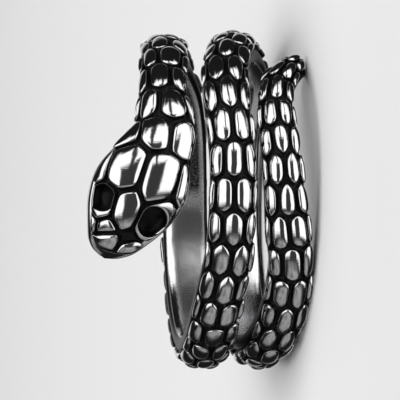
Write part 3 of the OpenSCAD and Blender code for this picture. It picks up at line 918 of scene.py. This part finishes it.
def add_camera(scene):
    """A camera with the photograph's view, shifted so that the ring falls on the same pixels."""
    data = bpy.data.cameras.new("camera")
    camera = bpy.data.objects.new("camera", data)
    scene.collection.objects.link(camera)
    data.sensor_width = SENSOR
    data.lens = FOCAL_PIXELS / PICTURE_SIZE * SENSOR
    data.shift_x = (PICTURE_SIZE / 2 - RING_AT_PIXEL[0]) / PICTURE_SIZE
    data.shift_y = (RING_AT_PIXEL[1] - PICTURE_SIZE / 2) / PICTURE_SIZE
    data.clip_start = 5 * MM
    back = Vector((0, -math.cos(CAMERA_TURN), math.sin(CAMERA_TURN)))
    up = Vector((1, 0, 0))
    right = up.cross(back)
    turned = Matrix((right, up, back)).transposed().to_4x4()
    camera.matrix_world = ring_place() @ Matrix.Translation(back * CAMERA_FAR) @ turned
    scene.camera = camera


def add_floor(scene, studio):
    """A plain pale floor, left out of the steel's reflections."""
    mesh = bpy.data.meshes.new("floor")
    corners = [(-1, -1), (1, -1), (1, 1), (-1, 1)]
    mesh.from_pydata([(x * FLOOR_HALF, y * FLOOR_HALF, 0) for x, y in corners], [], [(0, 1, 2, 3)])
    floor = bpy.data.objects.new("floor", mesh)
    scene.collection.objects.link(floor)
    material = bpy.data.materials.new("floor")
    material.use_nodes = True
    shader = material.node_tree.nodes["Principled BSDF"]
    shader.inputs["Base Color"].default_value = (*studio.floor, 1)
    shader.inputs["Roughness"].default_value = FLOOR_ROUGHNESS
    mesh.materials.append(material)
    floor.visible_glossy = False


def add_light(scene, studio):
    """One large soft light over the ring."""
    data = bpy.data.lights.new("soft light", "AREA")
    data.shape = "RECTANGLE"
    data.size, data.size_y = LIGHT_SIZE
    data.energy = studio.light
    light = bpy.data.objects.new("soft light", data)
    light.location = LIGHT_AT
    light.visible_glossy = False
    light.visible_camera = False
    scene.collection.objects.link(light)


def add_world(scene, studio):
    """The studio that the steel mirrors: white panels above and below, a white strip with a dark slit at
    the picture's top, a mottled one at its bottom, light behind the ring, and the rest dark."""
    world = bpy.data.worlds.new("studio")
    scene.world = world
    world.use_nodes = True
    nodes, links = world.node_tree.nodes, world.node_tree.links
    background = nodes["Background"]
    place = nodes.new("ShaderNodeTexCoord").outputs["Generated"]
    parts = nodes.new("ShaderNodeSeparateXYZ")
    links.new(place, parts.inputs[0])
    x, y, z = parts.outputs
    aside = math_node(nodes, links, "ABSOLUTE", z)

    def band(value, edges, bright=1.0):
        """Brightness that rises smoothly from 0 as value goes from the first edge to the second."""
        return ramp_node(nodes, links, value, edges, high=bright, smooth=True)

    def product(first, *others):
        """What is left of the first where each of the others lets it through."""
        for other in others:
            first = math_node(nodes, links, "MULTIPLY", first, other)
        return first

    def brightest(first, *others):
        """The brightest of them at each spot."""
        for other in others:
            first = math_node(nodes, links, "MAXIMUM", first, other)
        return first

    panels = brightest(band(z, PANEL_ABOVE_Z), band(z, PANEL_BELOW_Z))
    panels = product(panels, band(x, PANELS_X, studio.panels))
    top = product(band(x, TOP_X), band(y, TOP_Y), band(aside, TOP_SLIT_Z, studio.panels))
    bright = product(brightest(panels, top), band(y, FRONT_Y))
    mottled = noise_node(nodes, links, place, BOTTOM_MOTTLES, detail=2)
    bottom = product(band(x, BOTTOM_X, BOTTOM_BRIGHT), mottled, band(aside, BOTTOM_Z), band(y, BOTTOM_Y))
    behind = product(band(y, BEHIND_Y, BEHIND_BRIGHT), band(x, BEHIND_X))
    dark = band(y, DARK_Y, studio.dark)
    total = brightest(bright, bottom, behind, dark, studio.dark * DARKEST)
    seen = nodes.new("ShaderNodeLightPath").outputs["Is Camera Ray"]
    links.new(mix_node(nodes, links, seen, total, BACKDROP), background.inputs["Strength"])
    background.inputs["Color"].default_value = (1, 1, 1, 1)


class SNAKERING_OT_studio(bpy.types.Operator):
    """Build the stage: a pale floor, soft light and a camera with the photograph's view"""

    bl_idname = "snakering.studio"
    bl_label = "Studio"

    def execute(self, context):
        scene = context.scene
        scene.view_settings.view_transform = "Standard"
        add_camera(scene)
        add_floor(scene, scene.snakering_studio)
        add_light(scene, scene.snakering_studio)
        add_world(scene, scene.snakering_studio)
        return {"FINISHED"}


class SNAKERING_PT_panel(bpy.types.Panel):
    """Lists the ring's sizes, finish and studio, and the steps that build them"""

    bl_idname = "SNAKERING_PT_panel"
    bl_label = "Snake Wrap Ring"
    bl_space_type = "VIEW_3D"
    bl_region_type = "UI"
    bl_category = "Snake Ring"

    def draw(self, context):
        column = self.layout.column()
        for key, group in GROUPS.items():
            for name in group.__annotations__:
                column.prop(getattr(context.scene, key), name)
        for operator in STEPS:
            column.operator(operator.bl_idname)


GROUPS = {
    "snakering_sizes": SnakeRingSizes,
    "snakering_finish": SnakeRingFinish,
    "snakering_studio": SnakeRingStudio,
}
STEPS = (SNAKERING_OT_casting, SNAKERING_OT_studio)


def register():
    for cls in (*GROUPS.values(), *STEPS, SNAKERING_PT_panel):
        bpy.utils.register_class(cls)
    for name, cls in GROUPS.items():
        setattr(bpy.types.Scene, name, bpy.props.PointerProperty(type=cls))


def unregister():
    for name in GROUPS:
        delattr(bpy.types.Scene, name)
    for cls in (SNAKERING_PT_panel, *reversed(STEPS), *reversed(GROUPS.values())):
        bpy.utils.unregister_class(cls)


def main():
    register()
    bpy.ops.snakering.casting()
    bpy.ops.snakering.studio()


if __name__ == "__main__":
    main()
